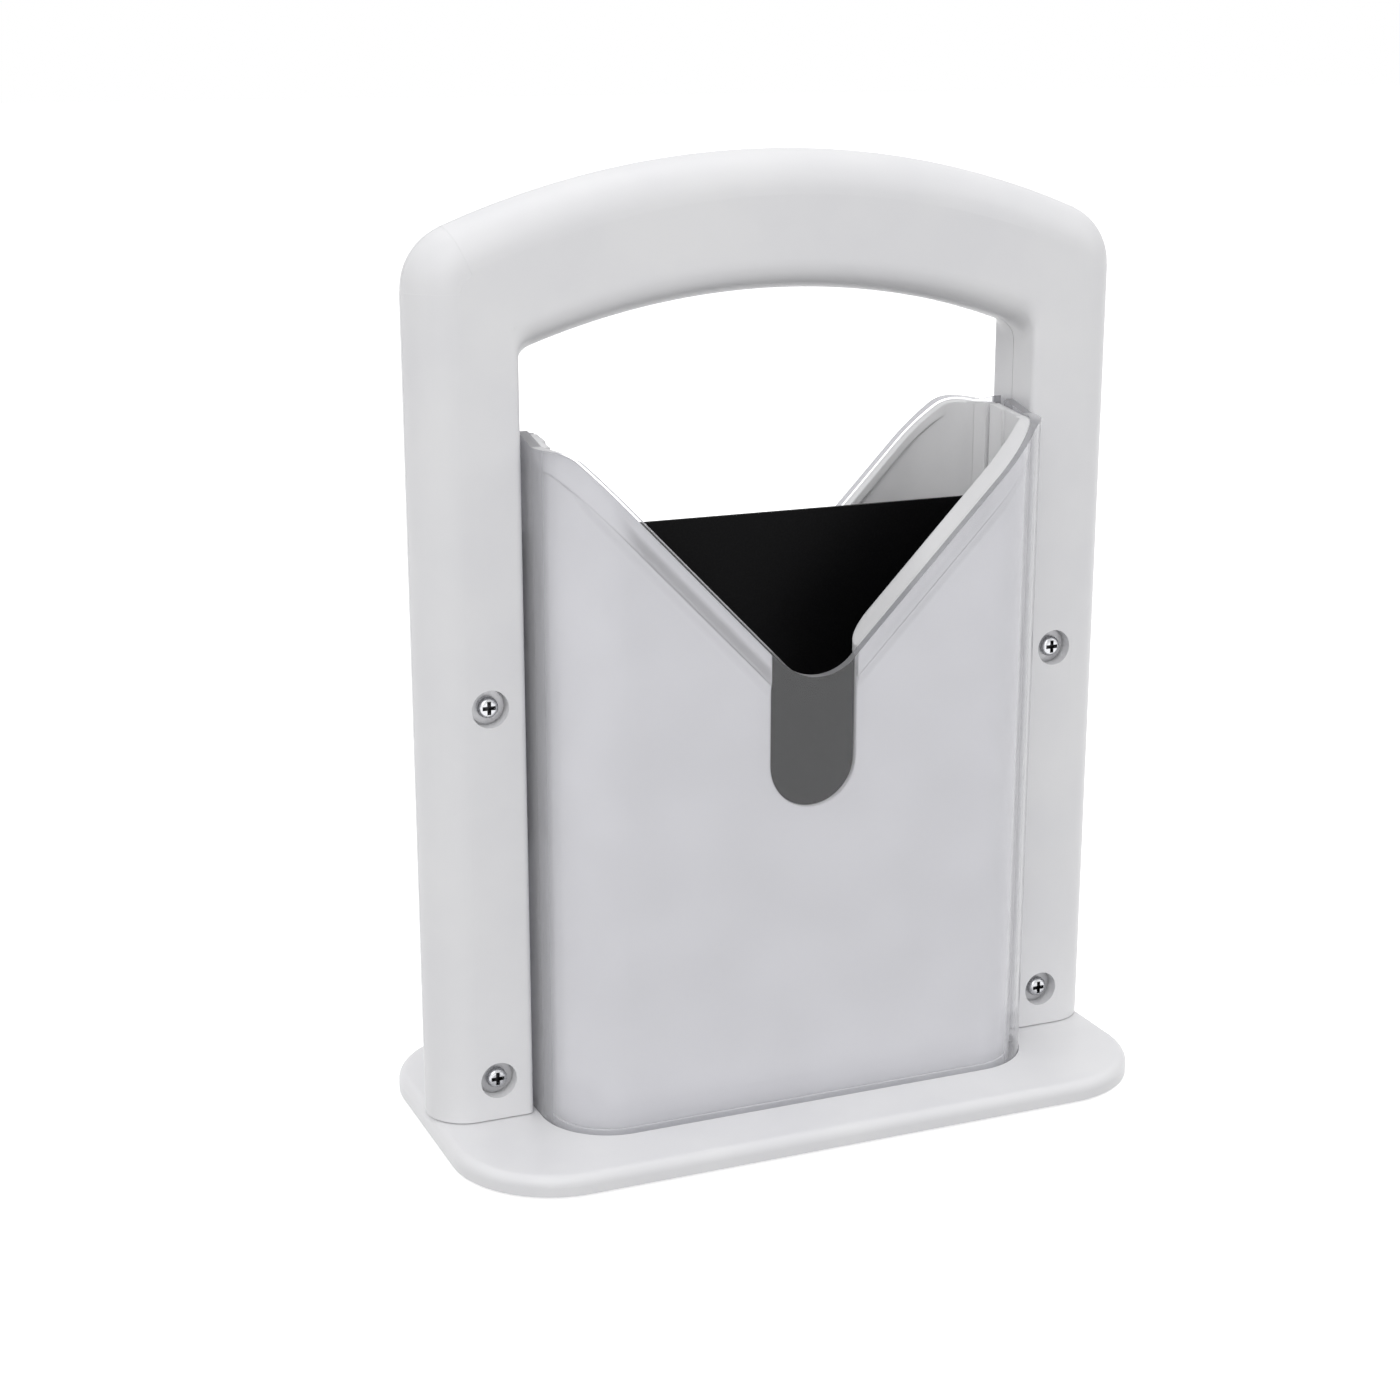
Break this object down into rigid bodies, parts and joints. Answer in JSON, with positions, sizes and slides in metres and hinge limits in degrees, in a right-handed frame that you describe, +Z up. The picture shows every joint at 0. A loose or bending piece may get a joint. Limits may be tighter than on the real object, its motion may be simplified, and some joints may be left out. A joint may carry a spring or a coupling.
{
  "type": "bagel guillotine slicer",
  "caption": "Upright bagel slicer: a cradle with a V notch and clear shields on a rounded base, and an arched handle that slides down with a black serrated blade between its legs.",
  "frame": {"origin": "on the table, under the middle of the base, in the plane of the blade", "axes": "+X to the right, +Y to the rear, +Z up, along the travel of the handle"},
  "size_m": [0.19, 0.098, 0.2457],
  "materials": {
    "white_plastic": "moulded white plastic with a soft sheen",
    "clear_plastic": "clear moulded plastic",
    "black_coating": "black non-stick coating on steel",
    "zinc_steel": "bright zinc-plated steel",
    "washer_steel": "dull grey steel",
    "foot_rubber": "matt dark rubber"
  },
  "bodies": {
    "cradle": {"base_plate": "white_plastic", "foot_front_left": "foot_rubber", "foot_front_right": "foot_rubber", "foot_rear_left": "foot_rubber", "foot_rear_right": "foot_rubber", "front_shield": "clear_plastic", "rear_shield": "clear_plastic", "front_liner": "white_plastic", "rear_liner": "white_plastic", "front_wall_screws": "zinc_steel", "rear_wall_screws": "zinc_steel"},
    "cutter": {"handle_front_shell": "white_plastic", "handle_rear_shell": "white_plastic", "blade": "black_coating", "handle_screws": "zinc_steel", "handle_washers": "washer_steel"}
  },
  "joints": [
    {"name": "handle_slide", "type": "slide", "parent": "cradle", "child": "cutter", "axis": [0, 0, 1], "range_m": [0, 0.12]}
  ]
}
